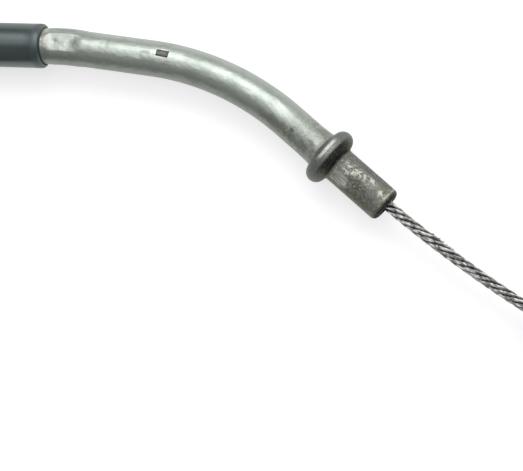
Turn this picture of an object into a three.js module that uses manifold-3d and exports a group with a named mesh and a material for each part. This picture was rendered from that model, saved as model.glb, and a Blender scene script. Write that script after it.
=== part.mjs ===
// Clutch cable: a cased steel wire with a bent guide tube on its lower end.
// Millimetres, +Z up. The cable lies on the surface z = 0, as it would on a bench.
//
// It is modelled from the rear end of the guide tube. The casing's axis runs along X there, the
// tube bends towards -Y, and its axis stays at one height. The last lines move the whole cable so
// that the origin is below the middle of the guide tube.

import * as THREE from 'three';
import { mergeVertices } from 'three/addons/utils/BufferGeometryUtils.js';
import Module from 'manifold-3d';

const wasm = await Module();
wasm.setup();

const degrees = Math.PI / 180;
const clearance = 0.3;

// Inner wire, its play in the liner, and the walls that lie round it
const wireRadius = 1.25;
const wirePlay = 0.45;
const linerWall = 0.5;
const armourWall = 1.4;
const jacketWall = 0.7;

// Guide tube, from its rear end inside the casing to its mouth
const tubeWall = 1.5;
const rearStraight = 11.2;
const rearBendAngle = 6 * degrees;
const rearBendRadius = 35;
const middleStraight = 18.4;
const mainBendAngle = 32.4 * degrees;
const mainBendRadius = 61.4;
const frontStraight = 28.5;
const rearEdge = 0.4;

// Collar, a bead pressed up from the tube's own wall, with a narrow flat seat on each side
const collarRound = 2;
const collarBand = 0.1;
const collarSeatWidth = 0.6;
const collarToMouth = 16.6;
const swell = 0.08;
const swellLength = 4;

// Nose in front of the collar, closed in at its mouth
const noseStep = 0.05;
const noseEdge = 1.3;
const mouthPlay = 0.95;
const mouthDepth = 9;

// Marks pressed into the tube: the flats of the crimp, and one bare stamp
const crimpFrom = 10.1;
const crimpLength = 5.8;
const crimpDepth = 0.5;
const crimpTurn = 8.5 * degrees;
const stampFrom = 35.1;
const stampLength = 2.6;
const stampWidth = 1.4;
const stampDepth = 0.35;
const stampTurn = 15.5 * degrees;

// Casing behind the tube: the jacket reaches over the tube's rear end, the armour butts against it
const jacketOverlap = 8;
const armourPitch = 2;
const armourGroove = 0.35;
const armourTurns = 11;
const linerToMouth = 10;

// How far the inner wire slides out of the mouth and back in, and its way out of the mouth
const wireOut = 14;
const wireIn = 10;
const wireInTube = 16;
const wireOffCentre = 0.44;
const wireTurn = 1.2 * degrees;
const wireCurveRadius = 278;
const wireFree = 42.5;
const wireInNipple = 2;

// Nipples, barrels that stand on their ends
const lowerNippleRadius = 4;
const upperNippleRadius = 4;
const nippleEdge = 0.5;

// Coil of the spare casing: two turns side by side and the rest on top of them
const coilRadius = 52.5;
const coilCentreX = -74;
const coilHeight = 19;
const coilCorner = 4;

// Upper end of the casing, in its ferrule
const casingEndX = 18;
const ferruleSkirt = 14;
const ferruleSkirtWall = 0.7;
const ferruleEndWall = 1.7;
const ferruleNose = 6;
const ferruleNoseRadius = 3.5;
const ferruleEdge = 0.5;
const upperWireHold = 1.3;

const tubeSides = 32;
const innerSides = 12;
const wireSides = 8;
const wireSteps = 10;
const casingSteps = 16;
const coilSides = 48;
const roundSides = 24;
const bendStep = 2.6;

// Radii, from the wire outwards
const linerBoreRadius = wireRadius + wirePlay;
const linerRadius = linerBoreRadius + linerWall;
const tubeBoreRadius = linerRadius + clearance;
const tubeRadius = tubeBoreRadius + tubeWall;
const armourRadius = tubeBoreRadius + armourWall;
const jacketBoreRadius = Math.max(tubeRadius, armourRadius) + clearance;
const jacketRadius = jacketBoreRadius + jacketWall;
const collarSeatRadius = tubeRadius + collarSeatWidth;
const collarRadius = collarSeatRadius + collarRound;
const noseRadius = tubeRadius - noseStep;
const mouthRadius = wireRadius + mouthPlay;
const ferruleSkirtBore = jacketRadius + clearance;
const ferruleRadius = ferruleSkirtBore + ferruleSkirtWall;

// Lengths and places along the guide tube
const rearBendLength = rearBendAngle * rearBendRadius;
const mainBendLength = mainBendAngle * mainBendRadius;
const middleStart = rearStraight + rearBendLength;
const mainBendStart = middleStart + middleStraight;
const frontStart = mainBendStart + mainBendLength;
const tubeLength = frontStart + frontStraight;
const collarCentre = tubeLength - collarToMouth;

// The collar's rim and the upper ferrule rest on the surface
const axisHeight = collarRadius;
const upperAxisHeight = ferruleRadius;

const coilOuterRadius = coilRadius + 2 * jacketRadius;
const coilInnerRadius = coilRadius - 2 * jacketRadius;
const coilCentreY = -(coilRadius + jacketRadius);
const casingEndY = coilCentreY - coilRadius;

// The casing where it isn't coiled, with points chosen by hand. The lead runs from the guide tube
// to the coil: its heights count from the tube's axis. The tail runs from the top of the coil to
// the upper ferrule: its points count from the casing's end.
const leadPoints = [
  [jacketOverlap, 0, 0],
  [0, 0, 0],
  [-8, 0, 0],
  [-16, 0, 0],
  [-24, 0, 0],
  [-31, 0, -0.3],
  [-39.5, 0, -0.9],
];
const tailPoints = [
  [-51, 0, 7.2],
  [-45, 0, 5.7],
  [-39, 0, 3.9],
  [-33, 0, 2.1],
  [-27, 0, 0.7],
  [-21, 0, 0],
  [-14, 0, 0],
  [-7, 0, 0],
  [0, 0, 0],
];

function steel(color, roughness) {
  return new THREE.MeshStandardMaterial({ color, roughness, metalness: 1 });
}

function plastic(color, roughness) {
  return new THREE.MeshStandardMaterial({ color, roughness, metalness: 0 });
}

// The place on the guide tube's axis at a distance from its rear end, and the way it runs there.
// Negative distances lie on the casing's axis behind the tube.
function onAxis(distance) {
  let x = 0;
  let y = 0;
  let heading = 0;
  let left = distance;
  const stretches = [
    { length: rearStraight },
    { length: rearBendLength, radius: rearBendRadius },
    { length: middleStraight },
    { length: mainBendLength, radius: mainBendRadius },
    { length: Infinity },
  ];
  for (const { length, radius } of stretches) {
    const step = Math.min(left, length);
    if (radius === undefined) {
      x += step * Math.cos(heading);
      y += step * Math.sin(heading);
    } else {
      const turned = heading - step / radius;
      x += radius * (Math.sin(heading) - Math.sin(turned));
      y += radius * (Math.cos(turned) - Math.cos(heading));
      heading = turned;
    }
    left -= step;
    if (left <= 0) break;
  }
  return { x, y, heading };
}

// Distances at which a solid along the axis needs a ring of vertices so that it can bend.
function bendStations() {
  const stations = [];
  const bends = [[rearStraight, rearBendLength], [mainBendStart, mainBendLength]];
  for (const [start, length] of bends) {
    const steps = Math.ceil(length / bendStep);
    for (let i = 0; i <= steps; i += 1) {
      stations.push(start + length * i / steps);
    }
  }
  return stations;
}

// Adds the points that a profile needs at the bends, so that its solid can follow them.
function withStations(profile) {
  const stations = bendStations();
  const points = [];
  profile.forEach(([distance, radius], i) => {
    points.push([distance, radius]);
    if (i + 1 === profile.length) return;
    const [nextDistance, nextRadius] = profile[i + 1];
    const span = nextDistance - distance;
    const between = stations.filter((s) => (s - distance) * (s - nextDistance) < -1e-6);
    if (span < 0) between.reverse();
    for (const s of between) {
      points.push([s, radius + (nextRadius - radius) * (s - distance) / span]);
    }
  });
  return points;
}

// A solid of revolution about the tube's axis, bent along it. The profile lists [distance, radius],
// forwards on the outside and back on the inside. It ends where it starts, or on the axis.
function turnedAlongAxis(profile, sides) {
  const points = withStations(profile).map(([distance, radius]) => (
    new THREE.Vector2(radius, distance)
  ));
  const geometry = new THREE.LatheGeometry(points, sides);
  const position = geometry.attributes.position;
  for (let i = 0; i < position.count; i += 1) {
    const { x, y, heading } = onAxis(position.getY(i));
    const side = position.getX(i);
    const up = position.getZ(i);
    position.setXYZ(
      i,
      x + side * Math.sin(heading),
      y - side * Math.cos(heading),
      axisHeight + up,
    );
  }
  return geometry;
}

// Points on a round edge, from one angle to another about a centre in the profile.
function roundEdge(distance, radius, size, from, to, steps) {
  const points = [];
  for (let i = 0; i <= steps; i += 1) {
    const angle = (from + (to - from) * i / steps) * degrees;
    points.push([distance + size * Math.sin(angle), radius + size * Math.cos(angle)]);
  }
  return points;
}

// A rod or pipe of round section along a curve.
function pipeAlong(curve, steps, radius, boreRadius, sides) {
  const section = new THREE.Shape(circle(radius, sides));
  if (boreRadius > 0) section.holes.push(new THREE.Path(circle(boreRadius, sides)));
  return new THREE.ExtrudeGeometry(section, { steps, extrudePath: curve, curveSegments: 1 });
}

function circle(radius, sides) {
  const points = [];
  for (let i = 0; i < sides; i += 1) {
    const angle = 2 * Math.PI * (i + 0.5) / sides;
    points.push(new THREE.Vector2(radius * Math.cos(angle), radius * Math.sin(angle)));
  }
  return points;
}

function solidOf(geometry) {
  const bare = geometry.clone();
  bare.deleteAttribute('normal');
  bare.deleteAttribute('uv');
  const merged = mergeVertices(bare, 1e-4);
  return new wasm.Manifold(new wasm.Mesh({
    numProp: 3,
    vertProperties: new Float32Array(merged.attributes.position.array),
    triVerts: new Uint32Array(merged.index.array),
  }));
}

function geometryOf(solid) {
  const mesh = solid.getMesh();
  const geometry = new THREE.BufferGeometry();
  geometry.setAttribute('position', new THREE.BufferAttribute(mesh.vertProperties, 3));
  geometry.setIndex(new THREE.BufferAttribute(mesh.triVerts, 1));
  geometry.computeVertexNormals();
  return geometry;
}

function cut(geometry, ...tools) {
  let solid = solidOf(geometry);
  for (const tool of tools) {
    solid = solid.subtract(solidOf(tool));
  }
  return geometryOf(solid);
}

// A block that cuts a flat floor into the tube: turn is the angle from straight up towards +Y.
function pressTool(from, length, width, floorRadius, turn) {
  const height = 2 * tubeRadius;
  const tool = new THREE.BoxGeometry(length, width, height);
  tool.translate(0, 0, floorRadius + height / 2);
  tool.rotateX(-turn);
  const { x, y, heading } = onAxis(from + length / 2);
  tool.rotateZ(heading);
  tool.translate(x, y, axisHeight);
  return tool;
}

// A solid of revolution about an upright axis. The profile lists [radius, height].
function turnedUpright(profile, sides) {
  const points = profile.map(([radius, height]) => new THREE.Vector2(radius, height));
  const geometry = new THREE.LatheGeometry(points, sides);
  geometry.rotateX(90 * degrees);
  return geometry;
}

function curveThrough(points) {
  return new THREE.CatmullRomCurve3(points.map(([x, y, z]) => new THREE.Vector3(x, y, z)));
}

// A barrel nipple that stands on the surface, with the hole that the wire is cast into. The wire
// comes in at mid height and ends a little past the barrel's axis.
function barrelNipple(radius, height, place) {
  const barrel = turnedUpright([
    [0, 0],
    [radius - nippleEdge, 0],
    [radius, nippleEdge],
    [radius, height - nippleEdge],
    [radius - nippleEdge, height],
    [0, height],
  ], roundSides);
  const holeRadius = wireRadius + clearance;
  const holeEnd = wireInNipple + clearance;
  const drill = new THREE.CylinderGeometry(holeRadius, holeRadius, 2 * radius, innerSides);
  drill.rotateZ(90 * degrees);
  drill.translate(holeEnd - radius, 0, height / 2);
  const nipple = cut(barrel, drill);
  nipple.rotateZ(place.heading);
  nipple.translate(place.x, place.y, 0);
  return nipple;
}

function named(name, geometry, material) {
  const mesh = new THREE.Mesh(geometry, material);
  mesh.name = name;
  return mesh;
}

const tubeSteel = steel(0xa9aea6, 0.42);
const ropeSteel = steel(0x84888a, 0.4);
const springSteel = steel(0x8d9092, 0.5);
const castZinc = steel(0xa6a8a6, 0.5);
const zincPlate = steel(0xb9bbb4, 0.35);
const jacketVinyl = plastic(0x3b484d, 0.35);
const linerNylon = plastic(0xe6e2d2, 0.5);

const cable = new THREE.Group();

// Guide tube with its collar, nose and pressed marks
const collarHalf = collarRound + collarBand / 2;
const swellRadius = tubeRadius + swell;
const tubeProfile = [
  [0, tubeRadius - rearEdge],
  [rearEdge, tubeRadius],
  [collarCentre - collarHalf - swellLength, tubeRadius],
  [collarCentre - collarHalf - swellLength / 2, swellRadius],
  [collarCentre - collarHalf, swellRadius + swell],
  ...roundEdge(collarCentre - collarBand / 2, collarSeatRadius, collarRound, -90, 0, 5),
  ...roundEdge(collarCentre + collarBand / 2, collarSeatRadius, collarRound, 0, 90, 5),
  [collarCentre + collarHalf, noseRadius],
  ...roundEdge(tubeLength - noseEdge, noseRadius - noseEdge, noseEdge, 0, 90, 4),
  [tubeLength, mouthRadius],
  [tubeLength - mouthDepth, mouthRadius],
  [tubeLength - mouthDepth - 2 * (tubeBoreRadius - mouthRadius), tubeBoreRadius],
  [0, tubeBoreRadius],
  [0, tubeRadius - rearEdge],
];
const crimpFloor = tubeRadius - crimpDepth;
const crimpWidth = 2 * tubeRadius;
const guideTubeGeometry = cut(
  turnedAlongAxis(tubeProfile, tubeSides),
  pressTool(crimpFrom, crimpLength, crimpWidth, crimpFloor, crimpTurn),
  pressTool(crimpFrom, crimpLength, crimpWidth, crimpFloor, crimpTurn + Math.PI),
  pressTool(stampFrom, stampLength, stampWidth, tubeRadius - stampDepth, stampTurn),
);
const guideTube = named('guide_tube', guideTubeGeometry, tubeSteel);
cable.add(guideTube);

// Spiral armour, which butts against the tube's rear end inside the jacket
const armourLength = armourTurns * armourPitch;
const armourProfile = [];
for (let turn = 0; turn < armourTurns; turn += 1) {
  const start = turn * armourPitch - armourLength - clearance;
  armourProfile.push([start, armourRadius - armourGroove]);
  armourProfile.push([start + armourGroove, armourRadius]);
  armourProfile.push([start + armourPitch - armourGroove, armourRadius]);
}
armourProfile.push([-clearance, armourRadius - armourGroove]);
armourProfile.push([-clearance, linerRadius + clearance]);
armourProfile.push([-armourLength - clearance, linerRadius + clearance]);
armourProfile.push(armourProfile[0]);
cable.add(named(
  'casing_armour',
  turnedAlongAxis(armourProfile, innerSides),
  springSteel,
));

// Liner, through the armour and the tube up to the closed-in mouth
const linerProfile = [
  [-armourLength - clearance, linerRadius],
  [tubeLength - linerToMouth, linerRadius],
  [tubeLength - linerToMouth, linerBoreRadius],
  [-armourLength - clearance, linerBoreRadius],
  [-armourLength - clearance, linerRadius],
];
cable.add(named(
  'casing_liner',
  turnedAlongAxis(linerProfile, innerSides),
  linerNylon,
));

// The inner wire's stretch inside the casing and the bends
const runEnd = tubeLength - wireInTube - wireIn - 2 * clearance;
const runProfile = [
  [-armourLength - clearance, 0],
  [-armourLength - clearance, wireRadius],
  [runEnd, wireRadius],
  [runEnd, 0],
];
cable.add(named(
  'inner_wire_run',
  turnedAlongAxis(runProfile, wireSides),
  ropeSteel,
));

// The inner wire's lower end: straight inside the tube and at the mouth, then gently curved, so that
// it slides along its own line. Distances count from the mouth.
const mouth = onAxis(tubeLength);
const wireHeading = mouth.heading + wireTurn;
const wireAtMouth = new THREE.Vector3(
  mouth.x - wireOffCentre * Math.sin(mouth.heading),
  mouth.y + wireOffCentre * Math.cos(mouth.heading),
  axisHeight,
);

function onWire(distance) {
  const turned = Math.max(distance, 0) / wireCurveRadius;
  const straight = Math.min(distance, 0);
  const ahead = straight + wireCurveRadius * Math.sin(turned);
  const aside = wireCurveRadius * (1 - Math.cos(turned));
  return {
    x: wireAtMouth.x + ahead * Math.cos(wireHeading) - aside * Math.sin(wireHeading),
    y: wireAtMouth.y + ahead * Math.sin(wireHeading) + aside * Math.cos(wireHeading),
    heading: wireHeading + turned,
  };
}

const wirePoints = [];
for (let i = 0; i <= wireSteps; i += 1) {
  const from = -wireInTube;
  const to = wireFree + wireInNipple;
  const { x, y } = onWire(from + (to - from) * i / wireSteps);
  wirePoints.push([x, y, axisHeight]);
}
cable.add(named(
  'lower_wire',
  pipeAlong(curveThrough(wirePoints), wireSteps, wireRadius, 0, wireSides),
  ropeSteel,
));
cable.add(named(
  'lower_nipple',
  barrelNipple(lowerNippleRadius, 2 * axisHeight, onWire(wireFree)),
  castZinc,
));

// Jacket of the casing between the guide tube and the coil
const leadCurve = curveThrough(leadPoints.map(([x, y, z]) => [x, y, axisHeight + z]));
cable.add(named(
  'casing_lead',
  pipeAlong(leadCurve, casingSteps, jacketRadius, jacketBoreRadius, innerSides),
  jacketVinyl,
));

// Coil, as one solid of the turns' outer shape
const coil = turnedUpright([
  [coilInnerRadius, coilCorner],
  [coilInnerRadius + coilCorner, 0],
  [coilOuterRadius - coilCorner, 0],
  [coilOuterRadius, coilCorner],
  [coilOuterRadius, coilHeight - coilCorner],
  [coilOuterRadius - coilCorner, coilHeight],
  [coilInnerRadius + coilCorner, coilHeight],
  [coilInnerRadius, coilHeight - coilCorner],
  [coilInnerRadius, coilCorner],
], coilSides);
coil.translate(coilCentreX, coilCentreY, 0);
cable.add(named('casing_coil', coil, jacketVinyl));

// Jacket of the casing between the coil and the upper ferrule
const tailCurve = curveThrough(tailPoints.map(([x, y, z]) => (
  [casingEndX + x, casingEndY + y, upperAxisHeight + z]
)));
cable.add(named(
  'casing_tail',
  pipeAlong(tailCurve, casingSteps, jacketRadius, linerBoreRadius, innerSides),
  jacketVinyl,
));

// The upper end's pieces lie along X. Their distances count from the casing's end.
const upperEnd = new THREE.Group();
upperEnd.position.set(casingEndX, casingEndY, 0);
cable.add(upperEnd);

// Upper ferrule: a skirt over the jacket, an end wall and a nose with the wire's hole
const shoulder = clearance + ferruleEndWall;
const noseEnd = shoulder + ferruleNose;
const ferrule = new THREE.LatheGeometry([
  [-ferruleSkirt, ferruleSkirtBore],
  [-ferruleSkirt, ferruleRadius - ferruleSkirtWall / 2],
  [ferruleSkirtWall / 2 - ferruleSkirt, ferruleRadius],
  [shoulder - ferruleEdge, ferruleRadius],
  [shoulder, ferruleRadius - ferruleEdge],
  [shoulder, ferruleNoseRadius],
  [noseEnd - ferruleEdge, ferruleNoseRadius],
  [noseEnd, ferruleNoseRadius - ferruleEdge],
  [noseEnd, linerBoreRadius],
  [clearance, linerBoreRadius],
  [clearance, ferruleSkirtBore],
  [-ferruleSkirt, ferruleSkirtBore],
].map(([distance, radius]) => new THREE.Vector2(radius, distance)), roundSides);
ferrule.rotateZ(-90 * degrees);
ferrule.translate(0, 0, upperAxisHeight);
upperEnd.add(named('upper_ferrule', ferrule, zincPlate));

// The inner wire's upper end. At rest the nipple stands as far off as the wire slides out below.
const upperNippleX = noseEnd + wireOut + clearance + upperNippleRadius;
const upperWireStart = noseEnd - wireIn - upperWireHold;
const upperWireLength = upperNippleX + wireInNipple - upperWireStart;
const upperWire = new THREE.CylinderGeometry(wireRadius, wireRadius, upperWireLength, wireSides);
upperWire.rotateZ(90 * degrees);
upperWire.translate(upperWireStart + upperWireLength / 2, 0, upperAxisHeight);
upperEnd.add(named('upper_wire', upperWire, ropeSteel));
upperEnd.add(named(
  'upper_nipple',
  barrelNipple(upperNippleRadius, 2 * upperAxisHeight, { x: upperNippleX, y: 0, heading: 0 }),
  castZinc,
));

// The origin is below the middle of the guide tube, at the surface that the cable lies on
const tubeMiddle = new THREE.Box3().setFromObject(guideTube).getCenter(new THREE.Vector3());
cable.position.set(-tubeMiddle.x, -tubeMiddle.y, 0);

export default cable;
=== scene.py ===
# %% [markdown]
# A clutch cable, as it lies on a bench. A steel wire rope slides inside a flexible casing, and at
# its lower end the casing is held in a bent steel guide tube with a collar. The photograph shows
# that tube, the casing's last stretch and the bare rope. The spare casing lies coiled beside
# them.
#
# The imported model is the fixed frame that all pieces are fitted to.

# %% The frame and its solids
import math

import bpy
import numpy as np
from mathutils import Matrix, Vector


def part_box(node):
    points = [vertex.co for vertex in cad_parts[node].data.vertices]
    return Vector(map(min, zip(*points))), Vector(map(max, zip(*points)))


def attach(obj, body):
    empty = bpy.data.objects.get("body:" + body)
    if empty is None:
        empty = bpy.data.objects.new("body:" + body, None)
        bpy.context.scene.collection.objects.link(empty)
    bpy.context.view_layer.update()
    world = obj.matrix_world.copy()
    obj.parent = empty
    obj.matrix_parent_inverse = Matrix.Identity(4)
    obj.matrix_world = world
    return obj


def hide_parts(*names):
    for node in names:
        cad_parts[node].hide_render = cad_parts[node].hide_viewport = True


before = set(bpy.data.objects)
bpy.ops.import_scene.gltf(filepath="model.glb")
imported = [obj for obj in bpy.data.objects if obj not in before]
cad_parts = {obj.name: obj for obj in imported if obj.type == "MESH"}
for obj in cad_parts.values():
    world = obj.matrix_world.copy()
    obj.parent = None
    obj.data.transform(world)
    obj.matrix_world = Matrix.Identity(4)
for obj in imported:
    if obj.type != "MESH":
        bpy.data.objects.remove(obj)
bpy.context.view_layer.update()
mm = 0.001
print("solids:", sorted(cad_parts))

# %% [markdown]
# Every place is worked out from the frame. The guide tube's box gives its rear end, the height of
# its axis above the surface, and the line of the casing. The ferrule's and the nipples' boxes
# give the ends of the wire.

# %% Places that the solids give
tube_radius = 4 * mm
jacket_radius = 5 * mm

tube_low, tube_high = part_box("guide_tube")
rear_x = tube_low.x
casing_y = tube_high.y - tube_radius
axis_height = tube_high.z / 2

ferrule_low, ferrule_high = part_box("upper_ferrule")
ferrule_radius = (ferrule_high.z - ferrule_low.z) / 2
ferrule_nose = 8 * mm
casing_end = (ferrule_high.x - ferrule_nose, (ferrule_low.y + ferrule_high.y) / 2, ferrule_radius)
print("casing ends at", [round(value / mm, 2) for value in casing_end], "mm")


def placed(x, y, z):
    """A point given in millimetres from the tube's rear end, on the surface, in the frame."""
    return (rear_x + x * mm, casing_y + y * mm, z * mm)


def added(name, data):
    """A new object in the scene."""
    made = bpy.data.objects.new(name, data)
    bpy.context.scene.collection.objects.link(made)
    return made


# %% [markdown]
# The camera stands where the photograph was taken from. It looks almost straight down, from a
# little to the right, so the casing at the left is seen slightly from its end. The lens is 82.6
# mm on a 36 mm sensor, which gives the photograph's perspective from 26 cm away.

# %% Camera
camera_place = placed(107.9, -38.85, 265.5)
camera_angles = (0.247, 10.46, 3.1)

camera_data = bpy.data.cameras.new("camera")
camera_data.sensor_width = 36
camera_data.lens = 82.6
camera_data.clip_start = 0.01
camera = added("camera", camera_data)
camera.location = camera_place
camera.rotation_euler = [math.radians(angle) for angle in camera_angles]
bpy.context.scene.camera = camera
bpy.context.scene.view_settings.view_transform = "Standard"

# %% [markdown]
# A few helpers serve every piece. Operators act on whatever is selected, so a step starts by
# selecting one object alone. A turned piece is drawn as a half section, as on a lathe, and spun
# about the X axis. A long piece is modelled straight, as the real one was before it was bent.

# %% Selecting and turning
weld_distance = 0.002 * mm
sharp_angle = math.radians(38)


def select_only(piece):
    bpy.ops.object.select_all(action="DESELECT")
    piece.select_set(True)
    bpy.context.view_layer.objects.active = piece


def with_steps(profile, step):
    """The half section with extra points, so that no edge is longer than the step."""
    points = [profile[0]]
    for (x0, r0), (x1, r1) in zip(profile, profile[1:]):
        count = max(1, math.ceil(abs(x1 - x0) / step))
        for i in range(1, count + 1):
            points.append((x0 + (x1 - x0) * i / count, r0 + (r1 - r0) * i / count))
    return points


def turned(name, profile, sides, step=1.0):
    """A closed solid turned about X from its half section, which starts and ends on the axis."""
    points = [(x * mm, 0, r * mm) for x, r in with_steps(profile, step)]
    mesh = bpy.data.meshes.new(name)
    mesh.from_pydata(points, [(i, i + 1) for i in range(len(points) - 1)], [])
    piece = added(name, mesh)
    select_only(piece)
    bpy.ops.object.mode_set(mode="EDIT")
    bpy.ops.mesh.select_all(action="SELECT")
    bpy.ops.mesh.spin(steps=sides, angle=2 * math.pi, center=(0, 0, 0), axis=(1, 0, 0))
    bpy.ops.mesh.select_all(action="SELECT")
    bpy.ops.mesh.remove_doubles(threshold=weld_distance)
    bpy.ops.mesh.normals_make_consistent(inside=False)
    bpy.ops.object.mode_set(mode="OBJECT")
    bpy.ops.object.shade_smooth_by_angle(angle=sharp_angle)
    return piece


def rounding(x, r, size, start, end, count=6):
    """Points of a round edge in a half section. An angle is 0 degrees outwards and 90 forwards."""
    points = []
    for i in range(count + 1):
        angle = math.radians(start + (end - start) * i / count)
        points.append((x + size * math.sin(angle), r + size * math.cos(angle)))
    return points


def round_edges(piece, width, segments, angle):
    """Rounds the edges that are sharper than an angle in degrees."""
    bevel = piece.modifiers.new("edges", "BEVEL")
    bevel.width = width * mm
    bevel.segments = segments
    bevel.limit_method = "ANGLE"
    bevel.angle_limit = math.radians(angle)
    bpy.ops.object.modifier_apply(modifier="edges")


# %% [markdown]
# A long piece gets its bends from a Curve modifier: the mesh runs straight along X, and the
# modifier lays it along a route. The straight form is kept in an attribute first. A finish that
# reads it follows the piece round every bend, as dirt, scratches and drawn marks do.

# %% Bending a straight piece along its route


def keep_straight_form(piece):
    mesh = piece.data
    straight = mesh.attributes.new("straight", "FLOAT_VECTOR", "POINT")
    places = np.zeros(len(mesh.vertices) * 3, np.float32)
    mesh.vertices.foreach_get("co", places)
    straight.data.foreach_set("vector", places)


def bend_along(piece, route):
    curve = bpy.data.curves.new("route", "CURVE")
    curve.dimensions = "3D"
    curve.twist_mode = "Z_UP"
    curve.use_deform_bounds = False
    spline = curve.splines.new("POLY")
    spline.points.add(len(route) - 1)
    for point, place in zip(spline.points, route):
        point.co = (*place, 1)
    rail = added("route", curve)
    select_only(piece)
    modifier = piece.modifiers.new("bend", "CURVE")
    modifier.object = rail
    modifier.deform_axis = "POS_X"
    bpy.ops.object.modifier_apply(modifier="bend")
    bpy.data.objects.remove(rail)


def length_of(route):
    return sum(math.dist(a, b) for a, b in zip(route, route[1:]))


# %% [markdown]
# The casing is a fixed length of stiff cable, about one metre. It leaves the guide tube straight,
# and past the edge of the photograph the spare length is wound into a neat coil: one turn
# outside, one turn inside it, and a third in the groove on top of them. The route's points are in
# millimetres from the tube's rear end. The turns come from a loop, and the rest are listed.

# %% Route of the casing
coil_x = -74
coil_y = -57.5
outer_turn = 57.5
inner_turn = 47.5
top_turn = 52.5
cable_across = 10
floor_height = 5.05
coil_start = 90
slip_start = 390
slip_end = 440
climb_start = 690
climb_end = 750
coil_end = 990
turn_step = 5

lead_heights = [(8, 0), (0, 0), (-8, 0), (-16, 0), (-24, 0), (-31, -0.3), (-39.5, -0.9)]
lead_end = [(-50, 0, 5.2), (-62, 0, 5)]
over_turns = [
    (-67, -110, 14.1), (-60, -110, 14.7), (-53, -110, 15.1), (-46, -110, 14.9), (-40, -110, 14.1),
]
tail_heights = [
    (-51, 7.2), (-45, 5.7), (-39, 3.9), (-33, 2.1), (-27, 0.7), (-21, 0), (-14, 0), (-7, 0), (0, 0),
]


def on_coil(turned_by, radius, height, side=0):
    """A place so many degrees round the coil's middle. The side is counted across the radius."""
    angle = math.radians(turned_by)
    return placed(
        coil_x + radius * math.cos(angle) - side * math.sin(angle),
        coil_y + radius * math.sin(angle) + side * math.cos(angle),
        height,
    )


def inward(turned_by):
    """Radius of the low turns. The second one slips inside the first."""
    share = min(max((turned_by - slip_start) / (slip_end - slip_start), 0), 1)
    return outer_turn + (inner_turn - outer_turn) * share


def coil_point(turned_by):
    """Radius and height of the coil after so many degrees, counted from the +X side."""
    if turned_by <= climb_start:
        return inward(turned_by), floor_height
    if turned_by <= climb_end:
        lean = math.radians(180 - (turned_by - climb_start))
        radius = outer_turn + cable_across * math.cos(lean)
        return radius, floor_height + cable_across * math.sin(lean)
    aside = inward(turned_by - 360) - top_turn
    return top_turn, floor_height + math.sqrt(cable_across**2 - aside**2)


def smooth(points, count):
    """Points on a smooth curve through the given ones, with so many steps between each two."""
    made = []
    padded = [points[0], *points, points[-1]]
    for a, b, c, d in zip(padded, padded[1:], padded[2:], padded[3:]):
        for i in range(count):
            t = i / count
            made.append(tuple(
                0.5 * (2 * q + (r - p) * t + (2 * p - 5 * q + 4 * r - s) * t**2
                       + (3 * q - p - 3 * r + s) * t**3)
                for p, q, r, s in zip(a, b, c, d)
            ))
    return [*made, points[-1]]


casing_points = [placed(x, 0, axis_height / mm + height) for x, height in lead_heights]
casing_points += [placed(*point) for point in lead_end]
casing_points += [
    on_coil(turned_by, *coil_point(turned_by))
    for turned_by in range(coil_start, coil_end + 1, turn_step)
]
casing_points += [placed(*point) for point in over_turns]
casing_points += [
    (casing_end[0] + x * mm, casing_end[1], casing_end[2] + height * mm)
    for x, height in tail_heights
]
casing_route = smooth(casing_points, 4)
casing_length = length_of(casing_route)
print(f"casing: {casing_length:.4f} m over {len(casing_points)} points")

# %% [markdown]
# The casing's jacket is a vinyl hose over the steel spiral. Its mouth reaches over the tube's
# rear end with a soft rounded rim, and it is bored out at both ends, where the tube and the wire
# go in.

# %% Jacket
skin = jacket_radius / mm
mouth_bore = 4.12
mouth_depth = 40
end_bore = 1.7
end_depth = 34
rim = 0.75
length_in_mm = casing_length / mm

jacket = turned("casing_jacket", [
    (mouth_depth, 0),
    (mouth_depth, mouth_bore),
    (0.15, mouth_bore),
    *rounding(rim, skin - rim, rim, -90, 0),
    (1.1, skin),
    (1.3, skin + 0.03),
    (1.5, skin),
    (length_in_mm - 0.3, skin),
    (length_in_mm, skin - 0.3),
    (length_in_mm, end_bore),
    (length_in_mm - end_depth, end_bore),
    (length_in_mm - end_depth, 0),
], sides=48, step=2.4)
keep_straight_form(jacket)
bend_along(jacket, casing_route)
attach(jacket, "casing")
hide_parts("casing_lead", "casing_coil", "casing_tail")
print("jacket:", len(jacket.data.polygons), "faces")

# %% [markdown]
# The guide tube's route is walked like a tube bender's card: so far straight, so far round a
# former. The wire's route is walked the same way: straight inside the tube, then gently curved,
# because it has kept some of the bend that it had inside.

# %% Walking a route


def walk(start, heading, stretches):
    """Points along straight and bent stretches of (length in mm, turn in degrees)."""
    x, y, z = start
    points = [(x, y, z)]
    for length, turn in stretches:
        steps = math.ceil(length)
        for _ in range(steps):
            heading += math.radians(turn) / steps / 2
            x += length * mm / steps * math.cos(heading)
            y += length * mm / steps * math.sin(heading)
            heading += math.radians(turn) / steps / 2
            points.append((x, y, z))
    return points, heading


rear_length = 11.2
rear_bend = 6
rear_bend_radius = 35
middle_length = 18.4
main_bend = 32.4
main_bend_radius = 61.4
front_length = 28.5
tube_route, tube_heading = walk(placed(0, 0, axis_height / mm), 0, [
    (rear_length, 0),
    (math.radians(rear_bend) * rear_bend_radius, -rear_bend),
    (middle_length, 0),
    (math.radians(main_bend) * main_bend_radius, -main_bend),
    (front_length, 0),
])
tube_length = length_of(tube_route) / mm
mouth = tube_route[-1]
print(f"guide tube: {tube_length:.2f} mm")
print("mouth at", [round(value / mm, 2) for value in mouth], "mm")

# %% [markdown]
# The tube is steel pipe with a collar pressed up from its own wall. In front of the collar its
# nose is closed in at the mouth. Drawn as a half section, the collar is a round bead with a tight
# foot on each side, and the wall swells a little behind it, where the metal was pushed up.

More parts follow.
